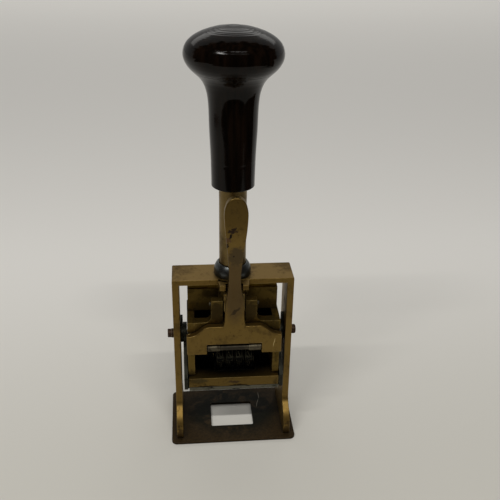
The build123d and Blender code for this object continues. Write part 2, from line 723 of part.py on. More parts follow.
NODES = {
    "base_plate": base_plate(),
    "frame_yoke": frame_yoke(),
    "foot_screws": foot_screws(),
    "lever_guide": lever_guide(),
    "guide_bush": guide_bush(),
    "buffer_ring": buffer_ring(),
    "stop_pin": stop_pin(),
    "spring_seat": spring_seat(),
    "return_spring": return_spring(),
    "plunger_tube": plunger_tube(),
    "tube_plug": tube_plug(),
    "handle": handle(),
    "head_block": head_block(),
    "carriage_front": carriage_front(),
    "right_cheek": right_cheek(),
    "left_cheek": mirror(right_cheek(), Plane.YZ),
    "cheek_screws": cheek_screws(),
    "rear_plate": rear_plate(),
    "rear_screws": rear_screws(),
    "wheel_axle": wheel_axle(),
    "lever_pin": lever_pin(),
    "lever_spring": lever_spring(),
    "side_pin_right": side_pin_right(),
    "side_pin_left": side_pin_left(),
    "wear_plate_right": wear_plate_right(),
    "wear_plate_left": mirror(wear_plate_right(), Plane.YZ),
    "detent_spring": detent_spring(),
    "detent_screws": detent_screws(),
    "ink_tray": ink_tray(),
    "tray_plate": tray_plate(),
    "ink_pad": ink_pad(),
    "right_arm": right_arm(),
    "left_arm": mirror(right_arm(), Plane.YZ),
    "cam_followers": cam_followers(),
    "arm_screws": arm_screws(),
    "thumb_lever": thumb_lever(),
    "pawl_rod": pawl_rod(),
    "pawl_comb": pawl_comb(),
}
for number, centre in enumerate(wheel_centres(), start=1):
    NODES[f"number_wheel_{number}"] = number_wheel(centre)

os.makedirs("parts", exist_ok=True)
for name, shape in NODES.items():
    export_step(shape, f"parts/{name}.step")
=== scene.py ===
import json
import math

import bmesh
import bpy
from mathutils import Matrix, Vector, noise

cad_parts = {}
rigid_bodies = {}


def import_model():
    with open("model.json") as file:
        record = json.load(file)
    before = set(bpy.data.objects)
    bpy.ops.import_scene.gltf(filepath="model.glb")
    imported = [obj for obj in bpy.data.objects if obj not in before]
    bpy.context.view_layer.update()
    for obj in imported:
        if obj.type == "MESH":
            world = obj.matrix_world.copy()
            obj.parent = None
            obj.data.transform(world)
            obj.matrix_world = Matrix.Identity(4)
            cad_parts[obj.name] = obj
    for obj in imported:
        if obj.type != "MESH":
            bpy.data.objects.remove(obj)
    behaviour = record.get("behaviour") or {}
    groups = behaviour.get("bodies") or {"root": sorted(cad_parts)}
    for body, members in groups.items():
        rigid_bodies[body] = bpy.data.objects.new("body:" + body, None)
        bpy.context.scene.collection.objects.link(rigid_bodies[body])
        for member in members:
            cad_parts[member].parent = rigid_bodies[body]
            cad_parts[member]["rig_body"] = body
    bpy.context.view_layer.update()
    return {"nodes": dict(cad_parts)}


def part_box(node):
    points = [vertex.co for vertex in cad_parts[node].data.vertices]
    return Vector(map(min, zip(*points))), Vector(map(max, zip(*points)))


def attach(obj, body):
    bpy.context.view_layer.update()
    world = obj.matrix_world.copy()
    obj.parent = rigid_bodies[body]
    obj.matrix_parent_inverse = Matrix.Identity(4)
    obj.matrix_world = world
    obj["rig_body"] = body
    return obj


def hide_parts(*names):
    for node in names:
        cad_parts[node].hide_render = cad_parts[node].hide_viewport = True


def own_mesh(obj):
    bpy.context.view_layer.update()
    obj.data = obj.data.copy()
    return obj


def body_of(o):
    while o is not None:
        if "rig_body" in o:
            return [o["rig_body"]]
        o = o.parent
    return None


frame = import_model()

# Looks of a hand numbering machine in aged brass, on a pale floor. The sizes below are in
# millimetres and MM turns them into the frame's metres. +X right, +Y to the rear, +Z up.
MM = 0.001
scene = bpy.context.scene

# Camera: place in millimetres, lens in millimetres on a 36 mm sensor
CAMERA_PLACE = (-21.3, -301.7, 260.2)
CAMERA_DOWN, CAMERA_TURN, CAMERA_ROLL = math.radians(26.75), math.radians(5.72), math.radians(1.14)
CAMERA_LENS = 47.9

# Studio, in metres: the floor, the ceiling strips, and the dark dome and table's edges, which are cards that
# paint dark reflections
FLOOR_REACH = 12.0
KEY_HEIGHT, KEY_SLOPE, STRIP_WIDTH = 1.2, 0.54, 0.07
DARK_RADIUS, CARD_LIFT = 1.6, 0.0006
TABLE_FRONT, TABLE_LEFT, TABLE_RIGHT = 0.26, 0.56, 0.30
TABLE_REAR_LEFT, TABLE_REAR_RIGHT = 0.16, 0.10
LAMP_WHITE = (1.0, 0.985, 0.95)
WORLD_WHITE, WORLD_STRENGTH = (1.0, 0.985, 0.955), 0.345
# Floor colours: painted shade near the front of the machine, painted light far behind it
FLOOR_NEAR_SHADED, FLOOR_FAR_LIT = (0.60, 0.585, 0.535), (0.90, 0.885, 0.850)
# Dim glow of the cards that paint dark reflections
DARK_REFLECTION_GLOW = (0.030, 0.021, 0.014)

# Sizes shared with the CAD part
TUBE_R, TUBE_TOP = 6.85, 184.0
SPRING_BOTTOM, SPRING_TOP, SPRING_COIL_R, SPRING_WIRE, SPRING_TURNS = 100.75, 173.55, 4.3, 0.45, 16
DRUM_R, TYPE_BODY_R = 9.1, 9.45
DRUM_W, RATCHET_W, RATCHET_R, RATCHET_ROOT_R = 3.75, 0.9, 8.3, 7.2
BORE_R = 2.01
DIGITS = 10
LEVER_PIN_Y, LEVER_PIN_Z = -12.75, 83.9
LEVER_COIL_R, LEVER_WIRE, LEVER_PITCH, LEVER_TURNS = 1.35, 0.25, 0.56, 9.5
SHOULDER_TOP = 74.0

# Fine shape that the CAD part leaves out
HANDLE_LINE_Z, HANDLE_LINE_DEPTH, HANDLE_LINE_HALF = 155.5, 0.06, 0.30
TYPE_BODY_W, TYPE_BODY_L, TYPE_BODY_SINK, TYPE_NARROW = 3.3, 4.2, 0.3, 0.82
DIGIT_SIZE, DIGIT_RAISE, DIGIT_SINK = 4.6, 0.26, 0.1
PAD_SOFT_R, PAD_LUMP = 0.5, 0.10
PAD_TROUGH_Y, PAD_TROUGH_HALF, PAD_TROUGH_DEPTH = -2.0, 3.5, 0.35


# ---------------------------------------------------------------- camera, floor and light

def add_camera():
    """Camera at the height and angle that a person looks down at the machine from."""
    forward = Vector((math.sin(CAMERA_TURN), math.cos(CAMERA_TURN), 0)) * math.cos(CAMERA_DOWN)
    forward.z = -math.sin(CAMERA_DOWN)
    level = Vector((math.cos(CAMERA_TURN), -math.sin(CAMERA_TURN), 0))
    upright = level.cross(forward)
    right = level * math.cos(CAMERA_ROLL) + upright * math.sin(CAMERA_ROLL)
    up = upright * math.cos(CAMERA_ROLL) - level * math.sin(CAMERA_ROLL)
    camera = bpy.data.objects.new("camera", bpy.data.cameras.new("camera"))
    camera.data.lens = CAMERA_LENS
    camera.data.clip_start = 0.01
    turn = Matrix((right, up, -forward)).transposed().to_4x4()
    camera.matrix_world = Matrix.Translation(Vector(CAMERA_PLACE) * MM) @ turn
    scene.collection.objects.link(camera)
    scene.camera = camera


def flat_panel(name, x0, x1, y0, y1, z):
    """Horizontal sheet in metres, for the floor and the cards that paint dark reflections."""
    mesh = bpy.data.meshes.new(name)
    corners = [(x0, y0, z), (x1, y0, z), (x1, y1, z), (x0, y1, z)]
    mesh.from_pydata(corners, [], [(0, 1, 2, 3)])
    return stage_object(name, mesh)


def stage_object(name, mesh):
    """An object of the studio, which isn't part of the machine."""
    piece = bpy.data.objects.new(name, mesh)
    scene.collection.objects.link(piece)
    return piece


def add_floor():
    """Wide pale floor with a faint paper tooth, greyer in front of the machine by painted shade and paler far
    behind by painted light.
    """
    floor = flat_panel("floor", -FLOOR_REACH, FLOOR_REACH, -FLOOR_REACH, FLOOR_REACH, 0.0)
    paint = Paint("floor_paper_painted_shade")
    tooth = paint.noise(1.2, detail=4.0)
    depth = paint.add("ShaderNodeSeparateXYZ", {0: paint.place}).outputs["Y"]
    # Painted light and shade: the floor's colour runs from grey in front of the machine to pale far behind
    shade = paint.mix(paint.ramp(depth, -0.10, 0.24), FLOOR_NEAR_SHADED, FLOOR_FAR_LIT)
    paint.surface(shade, roughness=0.85, bump=paint.maths("MULTIPLY", tooth, 0.03))
    floor.data.materials.append(paint.material)


def only_reflected(piece):
    """Leave a card to reflections only: its dim glow paints a dark reflection, and the camera, diffuse light
    and shadows don't see it.
    """
    piece.visible_camera = False
    piece.visible_diffuse = False
    piece.visible_shadow = False
    piece.visible_transmission = False


def add_dark_room():
    """Dim glowing cards in front and overhead, and beyond the table's far edges, seen only in reflections:
    they paint dark reflections.
    """
    material = bpy.data.materials.new("dark_reflection_card")
    material.use_nodes = True
    tree = material.node_tree
    tree.nodes.clear()
    glow = tree.nodes.new("ShaderNodeEmission")
    glow.inputs["Color"].default_value = (*DARK_REFLECTION_GLOW, 1)
    output = tree.nodes.new("ShaderNodeOutputMaterial")
    tree.links.new(glow.outputs["Emission"], output.inputs["Surface"])
    bm = bmesh.new()
    bmesh.ops.create_uvsphere(bm, u_segments=48, v_segments=24, radius=DARK_RADIUS)
    rear = 0.3 * DARK_RADIUS
    outside = [f for f in bm.faces if f.calc_center_median().y > rear or f.calc_center_median().z < 0]
    bmesh.ops.delete(bm, geom=outside, context="FACES")
    mesh = bpy.data.meshes.new("dark_reflection_dome")
    bm.to_mesh(mesh)
    bm.free()
    cards = [stage_object("dark_reflection_dome", mesh)]
    far = DARK_RADIUS
    cards.append(flat_panel("dark_reflection_front", -far, far, -far, -TABLE_FRONT, CARD_LIFT))
    cards.append(flat_panel("dark_reflection_left", -far, -TABLE_LEFT, -TABLE_FRONT, TABLE_REAR_LEFT, CARD_LIFT))
    cards.append(flat_panel("dark_reflection_right", TABLE_RIGHT, far, -TABLE_FRONT, TABLE_REAR_RIGHT, CARD_LIFT))
    for card in cards:
        card.data.materials.append(material)
        only_reflected(card)


def add_lamp(name, place, size, power, lean=0.0):
    """Rectangular lamp that faces down, or leans about X. Metres and watts."""
    data = bpy.data.lights.new(name, "AREA")
    data.shape = "RECTANGLE"
    data.size, data.size_y = size
    data.energy = power
    data.color = LAMP_WHITE
    light = bpy.data.objects.new(name, data)
    light.location = place
    light.rotation_euler = (lean, 0, 0)
    scene.collection.objects.link(light)


def add_strip(name, x0, x1, power):
    """One long thin ceiling light, running left to right in front of the machine."""
    place = ((x0 + x1) / 2, -KEY_SLOPE * KEY_HEIGHT, KEY_HEIGHT)
    add_lamp(name, place, (x1 - x0, STRIP_WIDTH), power, lean=-math.atan(KEY_SLOPE))


def add_lights():
    """Pale surroundings, the two ceiling strips and a wash over the floor far behind."""
    world = bpy.data.worlds.new("studio")
    world.use_nodes = True
    background = world.node_tree.nodes["Background"]
    background.inputs["Color"].default_value = (*WORLD_WHITE, 1)
    background.inputs["Strength"].default_value = WORLD_STRENGTH
    scene.world = world
    scene.view_settings.view_transform = "Standard"
    add_strip("strip_left", -0.80 * KEY_HEIGHT, -0.26 * KEY_HEIGHT, 9.5)
    add_strip("strip_right", -0.12 * KEY_HEIGHT, 0.36 * KEY_HEIGHT, 8.4)
    add_lamp("back_wash", (0, 2.4, 1.7), (4.0, 1.4), 17.0)


# ---------------------------------------------------------------- materials

class Paint:
    """A material under construction, with short calls for the nodes that the materials share.
    Lengths are in millimetres of the machine, so marks keep their real size."""

    def __init__(self, name):
        self.material = bpy.data.materials.new(name)
        self.material.use_nodes = True
        self.tree = self.material.node_tree
        self.tree.nodes.clear()
        self.place = self.add("ShaderNodeTexCoord").outputs["Object"]

    def add(self, kind, inputs=None, **settings):
        """A node with its settings, and its inputs set or linked."""
        node = self.tree.nodes.new(kind)
        for key, value in settings.items():
            setattr(node, key, value)
        for key, value in (inputs or {}).items():
            self.put(node.inputs[key], value)
        return node

    def put(self, socket, value):
        """Link a socket to another, or set it to a number, a vector or a colour."""
        if isinstance(value, bpy.types.NodeSocket):
            self.tree.links.new(value, socket)
        elif isinstance(value, tuple) and socket.type == "RGBA":
            socket.default_value = (*value, 1)
        else:
            socket.default_value = value

    def maths(self, operation, a, b=0.0, clamp=False):
        """One sum on two values, which may be sockets or numbers."""
        node = self.add("ShaderNodeMath", {0: a, 1: b}, operation=operation, use_clamp=clamp)
        return node.outputs[0]

    def noise(self, size, detail=3.0, stretch=(1, 1, 1), rough=0.55, warp=0.0):
        """Cloudy noise with lumps of about size. stretch makes them longer along an axis."""
        scale = Vector([1 / (size * MM * s) for s in stretch])
        shaped = self.add("ShaderNodeMapping", {"Vector": self.place, "Scale": scale})
        settings = {"Vector": shaped.outputs[0], "Scale": 1.0, "Detail": detail}
        settings |= {"Roughness": rough, "Distortion": warp}
        return self.add("ShaderNodeTexNoise", settings).outputs["Fac"]

    def ramp(self, value, low, high):
        """0 at low and 1 at high, with a soft start and end. low may be the larger one."""
        settings = {"Value": value, "From Min": low, "From Max": high}
        node = self.add("ShaderNodeMapRange", settings, interpolation_type="SMOOTHSTEP")
        return node.outputs["Result"]

    def mix(self, factor, a, b):
        """Colour a where factor is 0 and colour b where it is 1."""
        node = self.add("ShaderNodeMix", data_type="RGBA")
        colours = [socket for socket in node.inputs if socket.type == "RGBA"]
        self.put(node.inputs[0], factor)
        self.put(colours[0], a)
        self.put(colours[1], b)
        return next(socket for socket in node.outputs if socket.type == "RGBA")

    def edges(self, radius=0.45):
        """1 on the rounded outer edges."""
        soft = self.add("ShaderNodeBevel", {"Radius": radius * MM}, samples=6).outputs["Normal"]
        flat = self.add("ShaderNodeNewGeometry").outputs["Normal"]
        turn = self.add("ShaderNodeVectorMath", {0: soft, 1: flat}, operation="DOT_PRODUCT")
        return self.maths("MULTIPLY", self.ramp(turn.outputs["Value"], 0.995, 0.90), self.open(1.2))

    def open(self, distance):
        """1 where nothing stands near, 0 deep in a corner."""
        node = self.add("ShaderNodeAmbientOcclusion", {"Distance": distance * MM}, samples=6)
        return self.ramp(node.outputs["AO"], 0.25, 0.85)

    def mark(self, centre, size, turn=(0, 0, 0), ragged=0.35, lump=1.5):
        """A ragged patch of the given half sizes, turned by the given angles."""
        shift = self.add("ShaderNodeTexNoise", {"Vector": self.place, "Scale": 1 / (lump * MM)})
        centred = self.add("ShaderNodeVectorMath", {0: shift.outputs["Color"], 1: (0.5, 0.5, 0.5)},
                           operation="SUBTRACT")
        small = self.add("ShaderNodeVectorMath", {0: centred.outputs[0], 3: ragged * 8 * min(size) * MM},
                         operation="SCALE")
        moved = self.add("ShaderNodeVectorMath", {0: self.place, 1: small.outputs[0]})
        settings = {"Vector": moved.outputs[0], "Location": Vector(centre) * MM}
        settings |= {"Rotation": turn, "Scale": Vector(size) * MM}
        local = self.add("ShaderNodeMapping", settings, vector_type="TEXTURE").outputs[0]
        reach = self.add("ShaderNodeVectorMath", {0: local}, operation="LENGTH").outputs["Value"]
        return self.ramp(reach, 1.0, 0.55)

    def scratches(self, along, spacing=0.35, amount=0.30):
        """Fine lines that run along one axis, 0 to 1."""
        stretch = {"X": (60, 1, 1), "Y": (1, 60, 1), "Z": (1, 1, 60)}[along]
        lines = self.noise(spacing, detail=2.0, stretch=stretch, rough=0.7)
        return self.ramp(lines, 0.68 - 0.1 * amount, 0.78)

    def surface(self, colour, roughness, metallic=0.0, bump=None, **fixed):
        """Principled surface. fixed are sockets with one value all over."""
        sockets = {"Base Color": colour, "Roughness": roughness, "Metallic": metallic}
        shader = self.add("ShaderNodeBsdfPrincipled", sockets)
        for name, value in fixed.items():
            self.put(shader.inputs[name.replace("_", " ")], value)
        if bump is not None:
            relief = self.add("ShaderNodeBump", {"Height": bump, "Distance": MM, "Strength": 1.0})
            self.put(shader.inputs["Normal"], relief.outputs[0])
        output = self.add("ShaderNodeOutputMaterial")
        self.tree.links.new(shader.outputs[0], output.inputs["Surface"])


def aged_metal(name, bright, dull, dark, worn, grain="Z", cover=0.5, gloss=0.42, marks=(),
               grime_and_shade_strength=0.85, skim=1.0):
    """Old metal: two clouded tones, dark dirt with painted shade in the corners, rubbed edges, scratches and
    pits.
    marks are (patch settings, colour) pairs that lie on top, cover is how much is dull,
    grime_and_shade_strength how dark the dirt and painted corner shade are, and skim how much the metal
    reflects at a low angle."""
    paint = Paint(name)
    cloud = paint.noise(11.0, detail=6.0, warp=0.6)
    mottle = paint.noise(1.6, detail=5.0, rough=0.65)
    tone = paint.maths("ADD", paint.maths("MULTIPLY", cloud, 0.7), paint.maths("MULTIPLY", mottle, 0.3))
    tarnish = paint.ramp(tone, 0.62 - 0.25 * cover, 0.72 - 0.15 * cover)
    colour = paint.mix(tarnish, bright, dull)
    colour = paint.mix(paint.maths("MULTIPLY", paint.ramp(mottle, 0.58, 0.75), 0.55), colour, dark)
    lines = paint.scratches(grain)
    colour = paint.mix(paint.maths("MULTIPLY", lines, 0.28), colour, worn)
    for settings, mark_colour in marks:
        colour = paint.mix(paint.mark(**settings), colour, mark_colour)
    # Dirt and painted shade: darker where the corners close in, by ambient occlusion
    corner_grime_and_shade = paint.maths("SUBTRACT", 1.0, paint.open(3.0))
    corner_grime_and_shade = paint.maths("MULTIPLY", corner_grime_and_shade, paint.ramp(mottle, 0.2, 0.55), clamp=True)
    colour = paint.mix(paint.maths("MULTIPLY", corner_grime_and_shade, grime_and_shade_strength), colour, dark)
    rub = paint.maths("MULTIPLY", paint.edges(), paint.ramp(paint.noise(2.5), 0.30, 0.55))
    colour = paint.mix(paint.maths("MULTIPLY", rub, 0.8), colour, worn)
    pits = paint.ramp(paint.noise(0.55, detail=2.0), 0.70, 0.80)
    colour = paint.mix(paint.maths("MULTIPLY", pits, 0.6), colour, dark)
    rough = paint.maths("ADD", gloss, paint.maths("MULTIPLY", tarnish, 0.14))
    rough = paint.maths("ADD", rough, paint.maths("MULTIPLY", mottle, 0.10))
    rough = paint.maths("SUBTRACT", rough, paint.maths("MULTIPLY", rub, 0.12), clamp=True)
    height = paint.maths("MULTIPLY", paint.noise(5.0, detail=3.0), 0.035)
    height = paint.maths("ADD", height, paint.maths("MULTIPLY", mottle, 0.012))
    height = paint.maths("SUBTRACT", height, paint.maths("MULTIPLY", lines, 0.006))
    height = paint.maths("SUBTRACT", height, paint.maths("MULTIPLY", pits, 0.02))
    paint.surface(colour, rough, 0.96, bump=height, Specular_Tint=(skim, skim, skim))
    return paint.material


BRASS = (0.205, 0.129, 0.034)
BRASS_DULL = (0.140, 0.088, 0.027)
BRASS_DARK = (0.026, 0.018, 0.008)
BRASS_WORN = (0.46, 0.34, 0.145)
BROWN_SMUDGE = (0.045, 0.029, 0.019)
# Black of ink; inside the carriage it also serves as painted shade
INK_AND_SHADE_BLACK = (0.0022, 0.0020, 0.0016)


def yoke_brass():
    """Yoke brass, darker round the toes of the feet."""
    brown = (0.080, 0.050, 0.018)
    toes = [({"centre": (x, -19.5, 3.0), "size": (3.6, 4.5, 8.0)}, brown) for x in (-29.5, 29.5)]
    return aged_metal("yoke_brass", BRASS, BRASS_DULL, BRASS_DARK, BRASS_WORN, marks=toes)


def carriage_brass():
    """Carriage brass: duller than the yoke, black with ink and painted shade inside, and painted shade on the
    posts.
    """
    # Ink and painted shade: the inside of the carriage is painted black
    marks = [({"centre": (0.0, -3.6, 51.5), "size": (29.0, 13.2, 15.5), "ragged": 0.06}, INK_AND_SHADE_BLACK)]
    # Painted shade on the fronts of the posts beside the stem
    for side in (-1, 1):
        marks.append(({"centre": (side * 8.7, -15.0, 79.5), "size": (4.2, 1.5, 8.0)}, (0.062, 0.042, 0.015)))
    return aged_metal("carriage_brass", (0.162, 0.108, 0.028), (0.094, 0.064, 0.019), (0.012, 0.009, 0.004),
                      BRASS_WORN, grain="X", cover=0.7, gloss=0.46, marks=marks, grime_and_shade_strength=0.75, skim=0.25)


def lever_brass():
    """Lever brass, with the smudges on the thumb pad and stem, and the scratch low on the right."""
    black = (0.014, 0.011, 0.009)
    marks = [
        ({"centre": (0.0, -19.5, 97.0), "size": (7.0, 4.5, 27.0), "ragged": 0.08}, (0.125, 0.082, 0.034)),
        ({"centre": (-1.6, -24.5, 129.5), "size": (2.8, 2.0, 1.6)}, BROWN_SMUDGE),
        ({"centre": (-2.7, -24.5, 126.4), "size": (0.9, 1.5, 2.4), "turn": (0, 0.5, 0)}, black),
        ({"centre": (-4.2, -24.0, 121.4), "size": (0.9, 1.5, 2.4), "turn": (0, 0.5, 0)}, black),
        ({"centre": (-4.0, -24.2, 124.6), "size": (1.6, 1.5, 2.2)}, (0.13, 0.073, 0.036)),
        ({"centre": (0.5, -22.5, 115.0), "size": (5.5, 3.0, 8.5), "ragged": 0.2},
         (0.092, 0.064, 0.030)),
        ({"centre": (-1.0, -22.0, 115.3), "size": (0.45, 1.5, 0.45)}, black),
        ({"centre": (0.2, -19.0, 82.6), "size": (4.6, 1.2, 1.0), "turn": (0, -0.7, 0)},
         (0.060, 0.042, 0.021)),
        ({"centre": (20.5, -19.0, 63.2), "size": (0.28, 0.8, 3.3), "turn": (0, 0.22, 0), "ragged": 0.5,
          "lump": 2.5}, (0.55, 0.42, 0.19)),
    ]
    return aged_metal("lever_brass", (0.198, 0.127, 0.035), (0.145, 0.093, 0.028), BRASS_DARK,
                      (0.52, 0.39, 0.17), cover=0.45, gloss=0.40, marks=marks, grime_and_shade_strength=0.30)


def tray_brass():
    """Tray brass: stained black round the pan, with dull patches on its front."""
    marks = [
        ({"centre": (0.0, 0.0, 41.0), "size": (36.0, 20.5, 3.6), "ragged": 0.08}, INK_AND_SHADE_BLACK),
        ({"centre": (-18.0, -18.0, 39.6), "size": (5.5, 1.0, 1.6), "ragged": 0.1}, (0.085, 0.062, 0.024)),
        ({"centre": (0.0, -18.0, 38.2), "size": (4.0, 1.0, 1.2)}, (0.070, 0.045, 0.022)),
        ({"centre": (2.5, -18.0, 36.0), "size": (6.5, 1.0, 0.7)}, BRASS_DARK),
        ({"centre": (-14.0, -18.0, 35.9), "size": (7.0, 1.0, 0.5)}, BRASS_DARK),
    ]
    for i in range(3):
        marks.append(({"centre": (16.0 + 2.6 * i, -12.0, 41.0), "size": (0.22, 2.6, 0.5), "ragged": 0.4},
                      (0.055, 0.046, 0.027)))
    return aged_metal("tray_brass", (0.150, 0.097, 0.028), (0.095, 0.063, 0.021), (0.014, 0.011, 0.006),
                      BRASS_WORN, grain="X", cover=0.5, marks=marks, skim=0.3)


def tube_brass():
    """Plunger tube, rubbed by the bush that it runs in."""
    return aged_metal("tube_brass", (0.200, 0.140, 0.053), (0.130, 0.091, 0.037), BRASS_DARK, BRASS_WORN,
                      cover=0.6, gloss=0.36)


def base_bronze():
    """Base plate: brown patina, green-black round the window, worn specks along its edges and a
    light scratch."""
    paint = Paint("base_bronze")
    mottle = paint.noise(1.4, detail=5.0, rough=0.7)
    cloud = paint.noise(8.0, detail=6.0, warp=0.8)
    brown = paint.mix(paint.ramp(mottle, 0.35, 0.65), (0.025, 0.0155, 0.0058), (0.043, 0.0260, 0.0092))
    black = paint.mix(paint.ramp(mottle, 0.35, 0.65), (0.0030, 0.0034, 0.0014), (0.0085, 0.0078, 0.0030))
    middle = paint.mark((1.0, 3.0, 1.4), (34.0, 26.0, 6.0), ragged=0.15, lump=9.0)
    colour = paint.mix(paint.maths("MULTIPLY", middle, paint.ramp(cloud, 0.30, 0.52)), brown, black)
    for x, y, length, turn in ((17.1, 15.0, 3.6, 0.0), (15.7, 8.2, 4.6, -0.24)):
        line = paint.mark((x, y, 1.4), (0.30, length, 1.0), turn=(0, 0, turn), ragged=0.4, lump=4.0)
        colour = paint.mix(paint.maths("MULTIPLY", line, 0.8), colour, (0.17, 0.155, 0.12))
    wear = paint.maths("MULTIPLY", paint.edges(0.3), paint.ramp(paint.noise(1.1), 0.45, 0.62))
    colour = paint.mix(paint.maths("MULTIPLY", wear, 0.8), colour, (0.20, 0.155, 0.095))
    # Dirt and painted shade: darker where the corners close in, by ambient occlusion
    corner_grime_and_shade = paint.maths("SUBTRACT", 1.0, paint.open(4.0))
    colour = paint.mix(paint.maths("MULTIPLY", corner_grime_and_shade, 0.7), colour, (0.012, 0.009, 0.006))
    rough = paint.maths("ADD", 0.46, paint.maths("MULTIPLY", cloud, 0.22))
    paint.surface(colour, rough, 0.35, bump=paint.maths("MULTIPLY", mottle, 0.03), IOR=1.20)
    return paint.material


def tray_steel():
    """Strip under the tray: dull steel with dark pits."""
    marks = [({"centre": (x, -17.8, z), "size": (w, 0.8, 0.5), "ragged": 0.5}, (0.012, 0.010, 0.008))
             for x, z, w in ((-12.0, 34.6, 2.5), (7.5, 34.9, 1.6), (21.5, 34.2, 1.8), (1.0, 33.3, 3.0))]
    return aged_metal("tray_steel", (0.128, 0.124, 0.096), (0.066, 0.063, 0.048), (0.012, 0.010, 0.008),
                      (0.34, 0.33, 0.29), grain="X", cover=0.6, gloss=0.42, marks=marks)


def pin_steel():
    """Rusty brown steel, black with ink and painted shade where it passes the wheels."""
    # Ink and painted shade: the axle and comb inside the carriage are painted black
    marks = [({"centre": (0.0, -3.0, 50.0), "size": (27.0, 12.0, 15.0), "ragged": 0.05}, INK_AND_SHADE_BLACK),
             ({"centre": (0.0, -17.2, 59.9), "size": (9.4, 4.0, 4.0), "ragged": 0.05}, (0.060, 0.052, 0.039))]
    for side in (-1, 1):
        marks.append(({"centre": (side * 33.0, 0.0, 58.6), "size": (4.0, 9.0, 9.0), "ragged": 0.1},
                      (0.074, 0.047, 0.032)))
    return aged_metal("pin_steel", (0.135, 0.117, 0.078), (0.050, 0.041, 0.028), (0.014, 0.011, 0.007),
                      (0.34, 0.29, 0.24), grain="X", cover=0.65, gloss=0.48, marks=marks, skim=0.4)


def arm_steel():
    """Dark steel of the tray's arms."""
    return aged_metal("arm_steel", (0.036, 0.036, 0.027), (0.021, 0.021, 0.016), (0.008, 0.008, 0.006),
                      (0.24, 0.23, 0.19), cover=0.5, gloss=0.50)


def ring_steel():
    """Blued, polished steel of the buffer ring."""
    return aged_metal("ring_steel", (0.098, 0.106, 0.106), (0.056, 0.060, 0.059), (0.018, 0.018, 0.017),
                      (0.32, 0.33, 0.33), grain="X", cover=0.5, gloss=0.30)


def screw_steel():
    """Bright screw heads, with dirt and painted shade in their corners."""
    return aged_metal("screw_steel", (0.20, 0.19, 0.165), (0.11, 0.10, 0.082), (0.020, 0.017, 0.013),
                      (0.50, 0.48, 0.43), grain="X", cover=0.5, gloss=0.38)


def spring_steel():
    """Grey spring wire and spring strip."""
    return aged_metal("spring_steel", (0.24, 0.235, 0.22), (0.13, 0.12, 0.10), (0.03, 0.025, 0.02),
                      (0.50, 0.49, 0.46), grain="Y", cover=0.4, gloss=0.33)


def handle_black():
    """Polished black wood with a trace of brown, hairline scratches and flecks of dust."""
    paint = Paint("handle_black")
    grain = paint.noise(2.2, detail=4.0, stretch=(1, 1, 14))
    colour = paint.mix(paint.ramp(grain, 0.35, 0.70), (0.0014, 0.0009, 0.0006), (0.0060, 0.0030, 0.0016))
    hair = paint.maths("MAXIMUM", paint.scratches("Z", 0.30), paint.scratches("X", 0.45))
    rubbed = paint.ramp(paint.noise(9.0, detail=4.0), 0.45, 0.75)
    dust = paint.ramp(paint.noise(0.5, detail=2.0), 0.72, 0.80)
    colour = paint.mix(paint.maths("MULTIPLY", dust, 0.10), colour, (0.10, 0.09, 0.075))
    rough = paint.maths("ADD", 0.10, paint.maths("MULTIPLY", rubbed, 0.07))
    rough = paint.maths("ADD", rough, paint.maths("MULTIPLY", hair, 0.05))
    height = paint.maths("MULTIPLY", paint.noise(3.0, detail=2.0), 0.014)
    height = paint.maths("SUBTRACT", height, paint.maths("MULTIPLY", hair, 0.0015))
    paint.surface(colour, rough, bump=height, IOR=1.25)
    return paint.material


def wheel_black():
    """Inked steel wheels: black film, with bare metal rubbed on the tops of the digits."""
    paint = Paint("wheel_black")
    film = paint.noise(1.1, detail=5.0, rough=0.7)
    rub = paint.maths("MULTIPLY", paint.edges(0.14), paint.ramp(film, 0.24, 0.44))
    colour = paint.mix(paint.ramp(film, 0.4, 0.7), (0.0008, 0.0008, 0.0007), (0.0036, 0.0034, 0.0026))
    colour = paint.mix(paint.maths("MULTIPLY", rub, 0.9), colour, (0.34, 0.33, 0.23))
    rough = paint.maths("ADD", 0.22, paint.maths("MULTIPLY", film, 0.30))
    paint.surface(colour, rough, 0.9, bump=paint.maths("MULTIPLY", film, 0.03))
    return paint.material


def pad_felt():
    """Felt pad soaked in black ink, with drier fibre at its rim."""
    paint = Paint("pad_felt")
    fibre = paint.noise(0.22, detail=5.0, rough=0.8, warp=1.5)
    soak = paint.ramp(paint.noise(5.0, detail=4.0), 0.35, 0.65)
    colour = paint.mix(soak, (0.0014, 0.0013, 0.0012), (0.0042, 0.0038, 0.0034))
    dry = paint.maths("MULTIPLY", paint.ramp(fibre, 0.55, 0.75), 0.35)
    colour = paint.mix(dry, colour, (0.016, 0.014, 0.012))
    rough = paint.maths("ADD", 0.65, paint.maths("MULTIPLY", soak, 0.30))
    paint.surface(colour, rough, bump=paint.maths("MULTIPLY", fibre, 0.25), Sheen_Weight=0.03, IOR=1.28)
    return paint.material


MATERIALS = {
    "yoke_brass": yoke_brass,
    "carriage_brass": carriage_brass,
    "lever_brass": lever_brass,
    "tray_brass": tray_brass,
    "tube_brass": tube_brass,
    "base_bronze": base_bronze,
    "tray_steel": tray_steel,
    "pin_steel": pin_steel,
    "arm_steel": arm_steel,
    "ring_steel": ring_steel,
    "screw_steel": screw_steel,
    "spring_steel": spring_steel,
    "handle_black": handle_black,
    "wheel_black": wheel_black,
    "pad_felt": pad_felt,
}
made = {}


def finish_of(slot):
    """The material for one of the record's slots, made once."""
    if slot not in made:
        made[slot] = MATERIALS[slot]()
    return made[slot]


# ---------------------------------------------------------------- pieces

